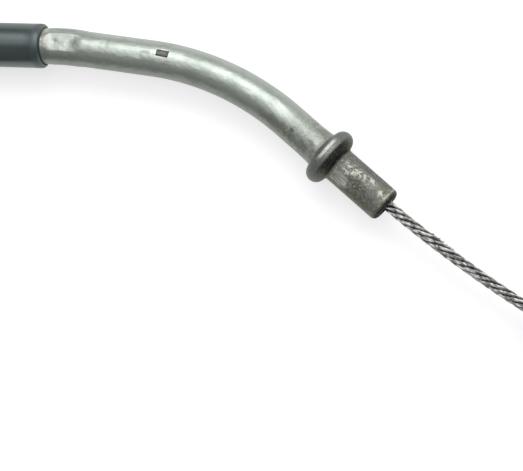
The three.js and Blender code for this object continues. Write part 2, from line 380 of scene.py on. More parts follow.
# %% Guide tube, turned straight
outside = tube_radius / mm
tube_bore = 2.5
nose_bore = 2.2
stamp_turn = 15.5
stamp_start = 35.1
stamp_end = 37.7
stamp_width = 1.4
stamp_step = 0.1
stamp_margin = 0.5
stamp_rings = round((stamp_end - stamp_start + 2 * stamp_margin) / stamp_step) + 1
stamp_left = tube_radius * math.sin(math.radians(stamp_turn))
stamp_low = stamp_left - stamp_width / 2 * mm
stamp_high = stamp_left + stamp_width / 2 * mm

collar_at = tube_length - 16.6
collar_round = 2.0
collar_foot = 4.6
tube = turned("guide_tube_body", [
    (0, tube_bore),
    (0, outside - 0.4),
    (0.4, outside),
    *[(stamp_start - stamp_margin + stamp_step * i, outside) for i in range(stamp_rings)],
    (collar_at - 6.5, outside),
    (collar_at - 4.4, 4.05),
    (collar_at - 3.1, 4.12),
    (collar_at - 2.35, 4.22),
    *rounding(collar_at - 0.05, collar_foot, collar_round, -90, 0, 14),
    *rounding(collar_at + 0.05, collar_foot, collar_round, 0, 90, 14),
    (collar_at + 2.2, 4.12),
    (collar_at + 2.7, 3.97),
    (collar_at + 3.2, 3.95),
    *rounding(tube_length - 1.3, 2.65, 1.3, 0, 84, 12),
    *rounding(tube_length - 0.35, 2.55, 0.35, 90, 180, 4)[1:],
    (tube_length - 0.9, nose_bore),
    (tube_length - 9, nose_bore),
    (tube_length - 9.6, tube_bore),
    (0, tube_bore),
], sides=128, step=0.4)
print("guide tube:", len(tube.data.polygons), "faces")

# %% [markdown]
# Three things are pressed into the straight tube. Flats on both sides crimp it on the casing's
# armour, a punch has left a small dimple in one of them, and a small oblong stamp is sunk further
# on. A press only pushes metal inwards, so the marks are made by moving the vertices that lie
# under the tool down to its face, with a soft edge.

# %% Marks pressed into the tube
crimp_turn = 8.5
crimp_start = 10.3
crimp_end = 15.7
crimp_floor = 3.5
crimp_rear_edge = (-1.2, 0.3)
crimp_front_edge = (-1.0, 2.2)
crimp_bulge = 0.035
dimple_turn = 11.7
dimple_at = 11.15
dimple_radius = 0.8
dimple_depth = 0.13
stamp_depth = 0.22
stamp_edge = 0.12
tool_side = 2
wall_middle = 3.5 * mm


def soft(value, low, high):
    """0 below low, 1 above high, and smooth between them."""
    share = np.clip((value - low) / (high - low), 0, 1)
    return share * share * (3 - 2 * share)


def frame_at(places, turn):
    """Distance along the tube, offset across the tool and height under it, in mm."""
    angle = math.radians(turn)
    along, side, up = places.T / mm
    across = side * math.cos(angle) - up * math.sin(angle)
    height = side * math.sin(angle) + up * math.cos(angle)
    return along, across, height


def moved_along_press(places, turn, change):
    angle = math.radians(turn)
    places[:, 1] += change * math.sin(angle) * mm
    places[:, 2] += change * math.cos(angle) * mm


def press_flat(places, turn, start, end, floor):
    """A flat across the tube: vertices above its floor come down to it."""
    along, _, height = frame_at(places, turn)
    from_rear = soft(along, start + crimp_rear_edge[0], start + crimp_rear_edge[1])
    from_front = 1 - soft(along, end + crimp_front_edge[0], end + crimp_front_edge[1])
    moved_along_press(places, turn, -from_rear * from_front * np.maximum(height - floor, 0))


def press_dimple(places, turn, at, radius, depth):
    along, across, height = frame_at(places, turn)
    distance = np.hypot(along - at, across)
    under = (height > tool_side) * (1 - soft(distance, 0.1 * radius, radius))
    moved_along_press(places, turn, -under * depth)


def press_stamp(places, turn, start, end, width, depth):
    along, across, height = frame_at(places, turn)
    inside = soft(along, start - stamp_edge, start + stamp_edge)
    inside *= 1 - soft(along, end - stamp_edge, end + stamp_edge)
    inside *= 1 - soft(np.abs(across), width / 2 - stamp_edge, width / 2 + stamp_edge)
    inside *= height > tool_side
    moved_along_press(places, turn, -inside * depth)


keep_straight_form(tube)
places = np.zeros(len(tube.data.vertices) * 3)
tube.data.vertices.foreach_get("co", places)
places = places.reshape(-1, 3)
is_outer = np.hypot(places[:, 1], places[:, 2]) > wall_middle
outer = places[is_outer]
outer_along = outer[:, 0] / mm
squeezed = soft(outer_along, crimp_start - 2, crimp_start)
squeezed *= 1 - soft(outer_along, crimp_end, crimp_end + 3)
outer[:, 1] *= 1 + crimp_bulge * squeezed
press_flat(outer, crimp_turn, crimp_start, crimp_end, crimp_floor)
press_flat(outer, crimp_turn + 180, crimp_start, crimp_end, crimp_floor)
press_dimple(outer, dimple_turn, dimple_at, dimple_radius, dimple_depth)
press_stamp(outer, stamp_turn, stamp_start, stamp_end, stamp_width, stamp_depth)
places[is_outer] = outer
tube.data.vertices.foreach_set("co", places.ravel())
tube.data.update()
bend_along(tube, tube_route)
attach(tube, "casing")
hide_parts("guide_tube")

# %% [markdown]
# The inner wire is a rope of seven strands, and each strand is seven wires. Six strands lie round
# the middle one in a left-hand lay of 16 mm, and the wires in each strand turn the other way, so
# that they run almost straight along the rope. Every wire is a helix on a helix, which a formula
# gives. Only the outer wires show, so the middle of each strand and the middle strand are plain
# cores. A few wires have broken where the rope rubs on the mouth, and where it has worn thin
# further out.

# %% Rope
lay = 16
strand_lay = 7.2
strand_radius = 0.833
wire_ring = 0.278
wire_radius = 0.147
strand_core_radius = 0.24
middle_strand_radius = 0.42
wire_step = 0.5
outer_count = 6
apart = 360 / outer_count


def wire_steps(start, end):
    """Places along the rope in mm, about one step apart."""
    count = max(3, math.ceil((end - start) / wire_step))
    return [start + (end - start) * i / count for i in range(count + 1)]


def strand_middle(strand, x):
    """Where the middle of an outer strand lies across the rope, so far along it."""
    angle = math.radians(apart * strand) - 2 * math.pi * x / lay
    return strand_radius * math.cos(angle), strand_radius * math.sin(angle)


def rope_wire(strand, wire, start, end, lift=0.0):
    """Points of one outer wire in mm. A lift lets its far end stand off the rope."""
    points = []
    steps = wire_steps(start, end)
    for i, x in enumerate(steps):
        middle_y, middle_z = strand_middle(strand, x)
        angle = math.radians(apart * wire) + 2 * math.pi * x / strand_lay
        away = 1 + lift * (i / (len(steps) - 1)) ** 2
        y = away * (middle_y + wire_ring * math.cos(angle))
        z = away * (middle_z + wire_ring * math.sin(angle))
        points.append((x, y, z))
    return points


def add_wire(curve, points, radius):
    """A thin round wire along the points. Its thickness is a share of the curve's bevel."""
    spline = curve.splines.new("POLY")
    spline.points.add(len(points) - 1)
    for point, (x, y, z) in zip(spline.points, points):
        point.co = (x * mm, y * mm, z * mm, 1)
        point.radius = radius / wire_radius


def rope(name, length, broken):
    """A straight rope along X as a mesh. broken lists (strand, wire, start, end, lift)."""
    curve = bpy.data.curves.new(name, "CURVE")
    curve.dimensions = "3D"
    curve.bevel_depth = wire_radius * mm
    curve.bevel_resolution = 1
    curve.use_fill_caps = True
    for strand in range(outer_count):
        core = [(x, *strand_middle(strand, x)) for x in wire_steps(0, length)]
        add_wire(curve, core, strand_core_radius)
        for wire in range(outer_count):
            add_wire(curve, rope_wire(strand, wire, 0, length), wire_radius)
    add_wire(curve, [(0, 0, 0), (length / 2, 0, 0), (length, 0, 0)], middle_strand_radius)
    for strand, wire, start, end, lift in broken:
        add_wire(curve, rope_wire(strand, wire, start, end, lift), wire_radius)
    select_only(added(name, curve))
    bpy.ops.object.convert(target="MESH")
    piece = bpy.context.view_layer.objects.active
    keep_straight_form(piece)
    bpy.ops.object.shade_smooth()
    return piece


# %% [markdown]
# The lower stretch starts inside the guide tube and leaves its mouth a little off centre, as the
# photograph shows. Its route is what the cord is measured along.

# %% Lower wire
wire_in_tube = 16
wire_off_centre = 0.44
wire_heading = math.radians(-37.2)
wire_curve_radius = 278
wire_to_nipple = 42.5
wire_in_nipple = 2
wire_free = wire_to_nipple + wire_in_nipple

at_mouth = (
    mouth[0] - wire_off_centre * mm * math.sin(tube_heading),
    mouth[1] + wire_off_centre * mm * math.cos(tube_heading),
    axis_height,
)
wire_start = (
    at_mouth[0] - wire_in_tube * mm * math.cos(wire_heading),
    at_mouth[1] - wire_in_tube * mm * math.sin(wire_heading),
    axis_height,
)
wire_route, _ = walk(wire_start, wire_heading, [
    (wire_in_tube, 0), (wire_free, math.degrees(wire_free / wire_curve_radius)),
])
wire_length = length_of(wire_route)
lower_rope = rope("lower_wire_rope", wire_length / mm, [
    (0, 1, 15.2, 17.7, 0.35),
    (1, 2, 15.4, 17.3, 0.4),
    (3, 4, 15.4, 17.0, 0.55),
    (4, 3, 15.2, 16.8, 0.6),
    (4, 4, 15.6, 16.7, 0.8),
    (4, 1, 26.2, 27.6, 0.35),
    (5, 1, 27.0, 28.3, 0.3),
    (5, 0, 28.0, 29.2, 0.4),
    (5, 5, 29.0, 30.2, 0.35),
    (0, 5, 29.9, 31.1, 0.4),
    (0, 4, 30.8, 32.0, 0.35),
    (0, 3, 31.6, 32.8, 0.3),
])
bend_along(lower_rope, wire_route)
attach(lower_rope, "lower_end")
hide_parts("lower_wire")
print(f"lower rope: {wire_length / mm:.1f} mm, {len(lower_rope.data.polygons)} faces")

# %% Upper wire
upper_steps = 30
upper_low, upper_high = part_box("upper_wire")
upper_route = [
    (upper_low.x + (upper_high.x - upper_low.x) * i / upper_steps, casing_end[1], casing_end[2])
    for i in range(upper_steps + 1)
]
upper_length = length_of(upper_route)
upper_rope = rope("upper_wire_rope", upper_length / mm, [])
bend_along(upper_rope, upper_route)
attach(upper_rope, "upper_end")
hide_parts("upper_wire")
print(f"upper rope: {upper_length / mm:.1f} mm")

# %% [markdown]
# The upper ferrule is a steel cup rolled onto the casing's end: a skirt with two rolled grooves,
# an end wall, and a nose that goes into the lever's adjuster. It is turned like the rest, then
# moved to the casing's end.

# %% Upper ferrule
skirt_radius = 6
skirt_length = 14
skirt_bore = 5.1
ferrule_hole = 1.75
groove_depth = 0.4
groove_shape = [(-1, 0), (-0.6, 0.3), (-0.3, 0.85), (0, 1), (0.3, 0.85), (0.6, 0.3), (1, 0)]


def groove(middle):
    """A rolled groove in the skirt's half section, 1 mm to each side of its middle."""
    return [(middle + x, skirt_radius - share * groove_depth) for x, share in groove_shape]


ferrule = turned("upper_ferrule_cup", [
    (-skirt_length, skirt_bore),
    *rounding(0.3 - skirt_length, skirt_radius - 0.3, 0.3, -90, 0, 4),
    *groove(-10.5),
    *groove(-6.5),
    *rounding(1.5, 5.5, 0.5, 0, 90, 5),
    (2, 3.7),
    (2.2, 3.5),
    *rounding(7.5, 3, 0.5, 0, 90, 5),
    (8, 2.2),
    (7.5, ferrule_hole),
    (0.3, ferrule_hole),
    (0.3, skirt_bore),
    (-skirt_length, skirt_bore),
], sides=64)
keep_straight_form(ferrule)
select_only(ferrule)
ferrule.location = casing_end
bpy.ops.object.transform_apply(location=True)
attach(ferrule, "casing")
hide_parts("upper_ferrule")

# %% [markdown]
# Each end of the rope is cast into a barrel of zinc, which hooks into the lever or the release
# arm. A cylinder gets its rims bevelled and a shallow dish in each end, and a drill is taken out
# of its side with a Boolean modifier where the rope comes in.

# %% Nipples
nipple_rim = 0.45
dish_rim = 1.5
dish_slope = 0.35
dish_depth = 0.18
drill_radius = 1.42 * mm
drilled_past_middle = 2.3 * mm
same_height = 0.01 * mm


def flat_faces(mesh, height):
    """Selects the faces at one height."""
    for face in mesh.polygons:
        heights = [mesh.vertices[i].co.z for i in face.vertices]
        face.select = all(abs(z - height) < same_height for z in heights)


def dish(piece, height):
    """Sinks a round dish into an end face, towards the middle of the barrel."""
    bpy.ops.object.mode_set(mode="EDIT")
    bpy.ops.mesh.select_mode(type="FACE")
    bpy.ops.mesh.select_all(action="DESELECT")
    bpy.ops.object.mode_set(mode="OBJECT")
    flat_faces(piece.data, height)
    bpy.ops.object.mode_set(mode="EDIT")
    bpy.ops.mesh.inset(thickness=dish_rim * mm, depth=0)
    bpy.ops.mesh.inset(thickness=dish_slope * mm, depth=-dish_depth * mm)
    bpy.ops.object.mode_set(mode="OBJECT")


def barrel_nipple(name, node, heading, body):
    low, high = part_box(node)
    radius = (high.x - low.x) / 2
    height = high.z - low.z
    centre = ((low.x + high.x) / 2, (low.y + high.y) / 2, (low.z + high.z) / 2)
    bpy.ops.object.select_all(action="DESELECT")
    bpy.ops.mesh.primitive_cylinder_add(vertices=64, radius=radius, depth=height, location=centre)
    piece = bpy.context.view_layer.objects.active
    piece.name = name
    bpy.ops.object.transform_apply(location=True)
    dish(piece, high.z)
    dish(piece, low.z)
    round_edges(piece, nipple_rim, 4, 60)
    reach = 2 * radius
    back = drilled_past_middle - reach / 2
    bpy.ops.mesh.primitive_cylinder_add(
        vertices=32,
        radius=drill_radius,
        depth=reach,
        rotation=(0, math.pi / 2, heading),
        location=(
            centre[0] + back * math.cos(heading),
            centre[1] + back * math.sin(heading),
            centre[2],
        ),
    )
    drill = bpy.context.view_layer.objects.active
    select_only(piece)
    hole = piece.modifiers.new("hole", "BOOLEAN")
    hole.operation = "DIFFERENCE"
    hole.object = drill
    bpy.ops.object.modifier_apply(modifier="hole")
    bpy.data.objects.remove(drill)
    bpy.ops.object.shade_smooth_by_angle(angle=math.radians(35))
    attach(piece, body)
    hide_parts(node)
    return piece


nipple_heading = wire_heading + wire_to_nipple / wire_curve_radius
lower_barrel = barrel_nipple("lower_barrel", "lower_nipple", nipple_heading, "lower_end")
upper_barrel = barrel_nipple("upper_barrel", "upper_nipple", 0, "upper_end")

# %% [markdown]
# Two nylon ties hold the coil together. Each is a band round the bundle's three turns, so its
# route is the outline of three circles: an arc round each, joined by straight stretches. Its head
# sits on the outer slope, and the cut-off tail stands a little out of the head.

# %% Ties round the coil
tie_gap = 5.25
tie_half_width = 1.8
tie_thickness = 0.9
tie_edge = 0.2
low_turn_height = 5.15
top_turn_height = 13.8
bundle_middle = 8
above_floor = 0.05
slope = 30
arc_steps = 8

# Blocks on the outer slope in mm: start and end along it, bottom and top off it, half width
tie_head = (-2.4, 2.2, 0.3, 3.4, 2.4)
tie_tail = (1.8, 4.4, 1.7, 2.6, 1.6)
block_faces = [(0, 1, 3, 2), (4, 6, 7, 5), (0, 4, 5, 1), (2, 3, 7, 6), (0, 2, 6, 4), (1, 5, 7, 3)]


def bundle_outline():
    """Points of (radius, height) in mm round the three turns, counter-clockwise."""
    arcs = [
        (outer_turn, low_turn_height, -90, slope),
        (top_turn, top_turn_height, slope, 180 - slope),
        (inner_turn, low_turn_height, 180 - slope, 270),
    ]
    points = []
    for across, up, start, end in arcs:
        for i in range(arc_steps + 1):
            angle = math.radians(start + (end - start) * i / arc_steps)
            points.append((across + tie_gap * math.cos(angle), up + tie_gap * math.sin(angle)))
    return points


def block_on_slope(start, end, low, high, half_width):
    """Eight corners of a block, as (radius, height, side) in mm."""
    angle = math.radians(slope)
    middle = ((outer_turn + top_turn) / 2, (low_turn_height + top_turn_height) / 2)
    corners = []
    for along in (start, end):
        for side in (-half_width, half_width):
            for off in (low, high):
                out = tie_gap + off
                corners.append((
                    middle[0] + out * math.cos(angle) - along * math.sin(angle),
                    middle[1] + out * math.sin(angle) + along * math.cos(angle),
                    side,
                ))
    return corners


def tie(name, turned_to):
    outline = bundle_outline()
    corners = []
    for across, up in outline:
        outward = (across - top_turn, up - bundle_middle)
        share = tie_thickness / math.hypot(*outward)
        outer = (across + share * outward[0], up + share * outward[1])
        for side in (-tie_half_width, tie_half_width):
            for radius, height in ((across, up), outer):
                corners.append(on_coil(turned_to, radius, max(height, above_floor), side))
    faces = []
    count = len(outline)
    for i in range(count):
        a, b = 4 * i, 4 * ((i + 1) % count)
        for j, k in ((0, 1), (1, 3), (3, 2), (2, 0)):
            faces.append((a + j, a + k, b + k, b + j))
    for block in (tie_head, tie_tail):
        first = len(corners)
        corners += [on_coil(turned_to, *corner) for corner in block_on_slope(*block)]
        faces += [tuple(first + i for i in sides) for sides in block_faces]
    mesh = bpy.data.meshes.new(name)
    mesh.from_pydata(corners, [], faces)
    piece = added(name, mesh)
    select_only(piece)
    bpy.ops.object.mode_set(mode="EDIT")
    bpy.ops.mesh.select_all(action="SELECT")
    bpy.ops.mesh.normals_make_consistent(inside=False)
    bpy.ops.object.mode_set(mode="OBJECT")
    round_edges(piece, tie_edge, 2, 50)
    bpy.ops.object.shade_smooth_by_angle(angle=math.radians(40))
    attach(piece, "casing")
    return piece


ties = [tie("coil_tie_left", 180), tie("coil_tie_front", 300)]

# %% [markdown]
# Every fourth point of the casing's route, with its last one.

# %% Points along the casing's route
casing_route[::4] + casing_route[-1:]

# %% [markdown]
# A finish is a material built from sums. A Signal is one output of a shader node, and arithmetic
# on it adds Math nodes, so a dirt mask reads like the sentence it stands for. The colour is laid
# on in coats, each with its share and its tint.

# %% Shader sums


class Signal:
    """One output of a shader node. Arithmetic on it adds Math nodes."""

    def __init__(self, finish, socket):
        self.finish = finish
        self.socket = socket

    def with_math(self, operation, other):
        return self.finish.node("ShaderNodeMath", {"operation": operation}, {0: self, 1: other})

    def __add__(self, other):
        return self.with_math("ADD", other)

    def __sub__(self, other):
        return self.with_math("SUBTRACT", other)

    def __mul__(self, other):
        return self.with_math("MULTIPLY", other)

    __radd__ = __add__
    __rmul__ = __mul__


class Finish:
    """A material with a Principled shader, whose colour is laid on in coats."""

    def __init__(self, name, color, metallic=0.0):
        self.color = color
        self.material = bpy.data.materials.new(name)
        self.material.use_nodes = True
        self.tree = self.material.node_tree
        self.shader = self.tree.nodes["Principled BSDF"]
        self.shader.inputs["Metallic"].default_value = metallic

    def node(self, kind, settings=None, sockets=None, output=0):
        made = self.tree.nodes.new(kind)
        for key, value in (settings or {}).items():
            setattr(made, key, value)
        for key, value in (sockets or {}).items():
            self.plug(made.inputs[key], value)
        return Signal(self, made.outputs[output])

    def plug(self, socket, value):
        if isinstance(value, Signal):
            self.tree.links.new(value.socket, socket)
        else:
            socket.default_value = value

    def coat(self, share, tint):
        """Lays a tint over the colour: none of it where the share is 0, and it alone at 1."""
        sockets = {"Factor": share, 6: self.color, 7: tint}
        self.color = self.node("ShaderNodeMix", {"data_type": "RGBA"}, sockets, output=2)

    def set(self, **sockets):
        """Plugs the colour and the named values into the shader."""
        self.plug(self.shader.inputs["Base Color"], self.color)
        for name, value in sockets.items():
            self.plug(self.shader.inputs[name.replace("_", " ")], value)

    def straight(self):
        """The straight form's place, so that a pattern follows the piece round its bends."""
        settings = {"attribute_name": "straight", "attribute_type": "GEOMETRY"}
        return self.node("ShaderNodeAttribute", settings, output="Vector")

    def own_place(self):
        return self.node("ShaderNodeTexCoord", output="Object")

    def axes(self, where):
        return [self.node("ShaderNodeSeparateXYZ", sockets={0: where}, output=i) for i in range(3)]

    def stretched(self, where, scale, shift=(0, 0, 0)):
        sockets = {"Vector": where, "Location": shift, "Scale": scale}
        return self.node("ShaderNodeMapping", sockets=sockets)

    def noise(self, where, scale, detail, roughness=0.55):
        sockets = {"Vector": where, "Scale": scale, "Detail": detail, "Roughness": roughness}
        return self.node("ShaderNodeTexNoise", sockets=sockets)

    def between(self, value, low, high):
        """0 at low and 1 at high, smooth between them. It falls where low is above high."""
        sockets = {"Value": value, "From Min": low, "From Max": high}
        return self.node("ShaderNodeMapRange", {"interpolation_type": "SMOOTHSTEP"}, sockets)

    def band(self, value, start, end, soft_edge):
        """1 from start to end, with a soft edge outside them."""
        rising = self.between(value, start - soft_edge, start)
        return rising * self.between(value, end + soft_edge, end)

    def distance(self, where, centre, size):
        """How far a place is from a centre, where 1 is the given size away. Both are in mm."""
        scale = [1 / (length * mm) for length in size]
        shift = [-place / length for place, length in zip(centre, size)]
        near = self.stretched(where, scale, shift)
        return self.node("ShaderNodeVectorMath", {"operation": "LENGTH"}, {0: near}, output="Value")

    def from_axis(self, where):
        """How far a place is from the X axis, in mm."""
        return self.distance(self.stretched(where, (0, 1, 1)), (0, 0, 0), (1, 1, 1))

    def bump(self, height, distance, strength):
        sockets = {"Height": height, "Distance": distance, "Strength": strength}
        return self.node("ShaderNodeBump", sockets=sockets)


def dress(piece, finish):
    piece.data.materials.clear()
    piece.data.materials.append(finish.material)


# %% [markdown]
# The tube is galvanised steel. The zinc is satin with a slight green cast, a little cloudy, and
# its fine scratches run along it. Single marks are patches with ragged edges, each given by its
# place on the straight tube: so far along it, and so far to the left of its top line.

# %% Colours and marks of the tube
clean_zinc = (0.44, 0.485, 0.445, 1)
dull_zinc = (0.33, 0.36, 0.33, 1)
worn_zinc = (0.25, 0.27, 0.24, 1)
pressed_zinc = (0.36, 0.385, 0.365, 1)
rubbed_bright = (0.86, 0.89, 0.85, 1)
# Colour of the painted highlight on the collar's rear flank
painted_highlight_grey = (0.64, 0.68, 0.64, 1)
pale_scale = (0.56, 0.575, 0.49, 1)
olive_soil = (0.215, 0.222, 0.18, 1)
pink_grey = (0.36, 0.335, 0.315, 1)
purple_grey = (0.17, 0.16, 0.165, 1)
collar_grey = (0.19, 0.198, 0.19, 1)
brown_soil = (0.115, 0.108, 0.088, 1)
# Colour that darkens the stamp
stamp_dark = (0.1, 0.093, 0.08, 1)
scuffed = (0.68, 0.7, 0.63, 1)
# Dark colour of grime and of painted shade
soil_and_shade_dark = (0.022, 0.021, 0.019, 1)

# Each mark: along and left of the top line, half length and half width in mm, colour and share
tube_marks = [
    (9.0, 1.2, 1.1, 1.7, pink_grey, 0.85),
    (8.6, 3.0, 0.8, 1.2, pale_scale, 0.55),
    (9.2, -2.0, 1.0, 1.4, worn_zinc, 0.5),
    (13.0, 3.3, 3.2, 0.4, worn_zinc, 0.7),
    (16.2, 1.1, 0.4, 0.6, worn_zinc, 0.4),
    (19.6, 2.1, 2.2, 0.7, pressed_zinc, 0.5),
    (23.7, 1.2, 0.5, 1.5, dull_zinc, 0.7),
    (32.4, 0.75, 1.2, 0.45, worn_zinc, 0.8),
    (66.5, -2.2, 4.5, 1.6, olive_soil, 0.5),
    (70.4, -0.8, 0.5, 0.35, brown_soil, 0.7),
    # Soil and painted shade together on the side towards -Y before the collar
    (72.8, -2.0, 3.6, 1.3, brown_soil, 0.25),
    (75.6, -0.2, 1.3, 0.5, olive_soil, 0.6),
    (77.8, 1.0, 0.9, 2.6, olive_soil, 0.6),
    (82.9, 1.3, 1.5, 1.4, purple_grey, 0.85),
    (84.4, 2.9, 1.8, 0.8, olive_soil, 0.8),
    (88.9, -0.5, 2.6, 1.3, brown_soil, 0.65),
    (92.6, -0.4, 2.0, 1.6, purple_grey, 0.6),
    (90.5, -3.0, 5.0, 0.9, brown_soil, 0.5),
    (89.5, 3.6, 6.5, 0.7, purple_grey, 0.6),
    (76.4, 3.2, 3.6, 1.0, worn_zinc, 0.6),
]

# Bright scuffs on the nose: along and left of the top line, half length and half width in mm
nose_scuffs = [
    (85.6, 1.0, 2.0, 1.3),
    (88.0, 1.8, 1.7, 0.9),
    (90.6, 2.4, 1.6, 0.8),
    (94.0, 1.3, 0.9, 0.8),
]
mark_depth = 2.5
scuff_depth = 2
# Where the painted shade down the tube's side towards -Y starts and where it is full
shaded_side_start = -1.2 * mm
shaded_side_full = -3.6 * mm
soil_start = 64 * mm
soil_full = 73 * mm


def on_top(left):
    """Height of the tube's surface above its axis, so far left of the top line."""
    return math.sqrt(outside**2 - left**2)


# %% [markdown]
# Towards the collar the zinc is soiled, with pale scale in its pores. In front of the collar,
# where it sat in its boss, the nose is stained dark and scuffed bright in specks and fine lines.
# The corner in front of the collar and the rounding at the mouth are darkened with painted shade
# and specks of grime, and the stamp is darkened, most along its lower edge.

# %% Tube finish


def tube_finish():
    finish = Finish("galvanised tube", clean_zinc, metallic=1.0)
    where = finish.straight()
    along, side, up = finish.axes(where)
    streaks = finish.noise(finish.stretched(where, (110, 1300, 1300)), 1.0, 4)
    clouds = finish.noise(where, 190, 3)
    lumps = finish.noise(where, 430, 3, 0.6)
    ragged = finish.noise(where, 750, 4, 0.65)
    specks = finish.noise(where, 2500, 3, 0.7)
    crumbs = specks * 0.5 + ragged * 0.5
    top_half = finish.between(up, 0, 1 * mm)
    before_collar = finish.between(along, soil_start, soil_full)
    nose = finish.between(along, (collar_at + 0.4) * mm, (collar_at + 1.8) * mm)

    # Cloudy zinc, with painted shade down the side towards -Y
    finish.coat(finish.between(clouds, 0.42, 0.68) * 0.5, dull_zinc)
    finish.coat(finish.between(lumps, 0.52, 0.7) * 0.4, dull_zinc)
    finish.coat(finish.between(streaks, 0.52, 0.72) * 0.4, dull_zinc)
    # Painted shade: the side towards -Y is darkened, with brown specks of soil in it
    under = finish.between(side, shaded_side_start, shaded_side_full)
    finish.coat(under * 0.8, worn_zinc)
    finish.coat(under * finish.between(specks, 0.55, 0.66) * 0.5, brown_soil)

    # The flat of the crimp, duller where the press bore on it
    flat_start = (crimp_start + 0.4) * mm
    flats = finish.band(along + ragged * (0.8 * mm), flat_start, crimp_end * mm, 0.6 * mm)
    across = finish.band(side + ragged * (1.4 * mm), -0.5 * mm, 3 * mm, 0.5 * mm)
    finish.coat(flats * across * finish.between(lumps, 0.62, 0.4) * 0.9, pressed_zinc)

    # Soil and pale scale towards the collar, the collar's rim, and stain on the nose
    finish.coat(before_collar * 0.75, dull_zinc)
    pale_cloud = finish.between(ragged * 0.6 + lumps * 0.4, 0.47, 0.6)
    finish.coat(before_collar * pale_cloud * 0.55, pale_scale)
    finish.coat(finish.between(finish.from_axis(where), 4.4, 4.8) * 0.9, collar_grey)
    finish.coat(nose * 0.85, olive_soil)
    finish.coat(nose * finish.between(lumps, 0.42, 0.62) * 0.5, worn_zinc)
    for place, left, length, width, tint, share in tube_marks:
        centre = (place, left, on_top(left))
        away = finish.distance(where, centre, (length, width, mark_depth))
        finish.coat(finish.between(away + (ragged - 0.5) * 2.2, 1.15, 0.6) * share, tint)
    pores = finish.between(specks, 0.44, 0.36)
    finish.coat(pores * (before_collar * 0.5 + nose * 0.5), brown_soil)
    bright_pores = finish.between(specks, 0.58, 0.68)
    finish.coat(bright_pores * (before_collar * 0.45 + nose * 0.5), pale_scale)

    # Scuffs and fine lines on the nose, and a painted highlight along the back of the collar
    broken_up = finish.between(crumbs, 0.47, 0.56)
    for place, left, length, width in nose_scuffs:
        centre = (place, left, on_top(left))
        away = finish.distance(where, centre, (length, width, scuff_depth))
        scuffs = finish.between(away + (lumps - 0.5) * 2.5, 1.25, 0.5)
        finish.coat(scuffs * broken_up * 0.85, scuffed)
    lines = finish.noise(finish.stretched(where, (260, 3200, 3200)), 1.0, 2)
    scratched = finish.between(lines, 0.5, 0.58)
    away = finish.distance(where, (85.2, -2.1, 3.5), (2.6, 1.3, 2.5))
    rubbed = finish.between(away + (ragged - 0.5) * 1.4, 1.2, 0.6)
    finish.coat(rubbed * (0.35 + 0.65 * scratched), scuffed)
    # Painted highlight: a pale band along the collar's rear flank, broken up by specks
    painted_collar_highlight = finish.band(along, (collar_at - 1.05) * mm, (collar_at - 0.6) * mm, 0.25 * mm)
    painted_collar_highlight = painted_collar_highlight * finish.band(side, -1.2 * mm, 3.2 * mm, 1.2 * mm) * top_half
    finish.coat(painted_collar_highlight * finish.between(crumbs, 0.34, 0.52), painted_highlight_grey)

    # Painted shade and grime in front of the collar and at the mouth, and a darker stamp
    grime = finish.between(specks, 0.7, 0.35)
    # Painted shade with specks of grime in the corner in front of the collar
    corner = finish.band(along, (collar_at + 0.9) * mm, (collar_at + 2.3) * mm, 0.6 * mm)
    corner = corner * finish.between(side, -6.6 * mm, -1.5 * mm)
    corner = corner * finish.between(side, 7.2 * mm, 3.6 * mm)
    finish.coat(corner * (0.75 + 0.25 * grime), soil_and_shade_dark)
    # Painted shade with specks of grime on the rounding at the mouth
    mouth_start = (tube_length - 1.0) * mm
    mouth_full = (tube_length - 0.1) * mm
    mouth_end = finish.between(along + ragged * (0.5 * mm), mouth_start, mouth_full)
    finish.coat(mouth_end * (0.8 + 0.2 * grime), soil_and_shade_dark)
    # The stamp is darkened, most along its lower edge
    inset = finish.band(along, (stamp_start - 0.02) * mm, (stamp_end + 0.02) * mm, 0.06 * mm)
    inset = inset * finish.band(side, stamp_low, stamp_high, 0.08 * mm) * top_half
    low_edge = finish.between(side, stamp_low + 0.7 * mm, stamp_low + 0.2 * mm)
    finish.coat(inset * 0.9, stamp_dark)
    finish.coat(inset * (0.45 * low_edge + 0.5 * grime), soil_and_shade_dark)

    # A pale line round the mouth's rim, and chips beside the stamp
    rim_line = finish.band(
        along, (tube_length - 1.45) * mm, (tube_length - 1.2) * mm, 0.15 * mm,
    )
    rim_line = rim_line * finish.between(side, 0.4 * mm, 1.4 * mm)
    rim_line = rim_line * finish.between(ragged, 0.35, 0.5)
    finish.coat(rim_line * 0.7, pale_scale)
    away = finish.distance(where, (34.3, 1.0, 3.85), (0.9, 0.8, 1.5))
    beside_stamp = finish.between(away, 1.2, 0.6)
    finish.coat(beside_stamp * finish.between(specks, 0.5, 0.6) * 0.35, rubbed_bright)
    finish.coat(beside_stamp * pores * 0.7, worn_zinc)

    soiled = before_collar * 0.12 + nose * 0.08
    unevenness = clouds * 1.6 + lumps * 0.7 + ragged * 0.3
    pits = specks * (0.07 + before_collar * 0.12 + nose * 0.3)
    finish.set(
        Roughness=0.38 + 0.1 * streaks + 0.06 * clouds + soiled,
        Normal=finish.bump(unevenness + pits, 0.35 * mm, 0.5),
    )
    return finish


dress(tube, tube_finish())

# %% [markdown]
# The jacket is smooth dark vinyl with a blue cast, and shines broadly. At its mouth the hose was
# pressed on, which has left fine rings behind the rim and a duller band.

# %% Jacket finish
vinyl_dark = (0.006, 0.011, 0.012, 1)
vinyl_light = (0.014, 0.021, 0.022, 1)
vinyl_rubbed = (0.11, 0.13, 0.135, 1)


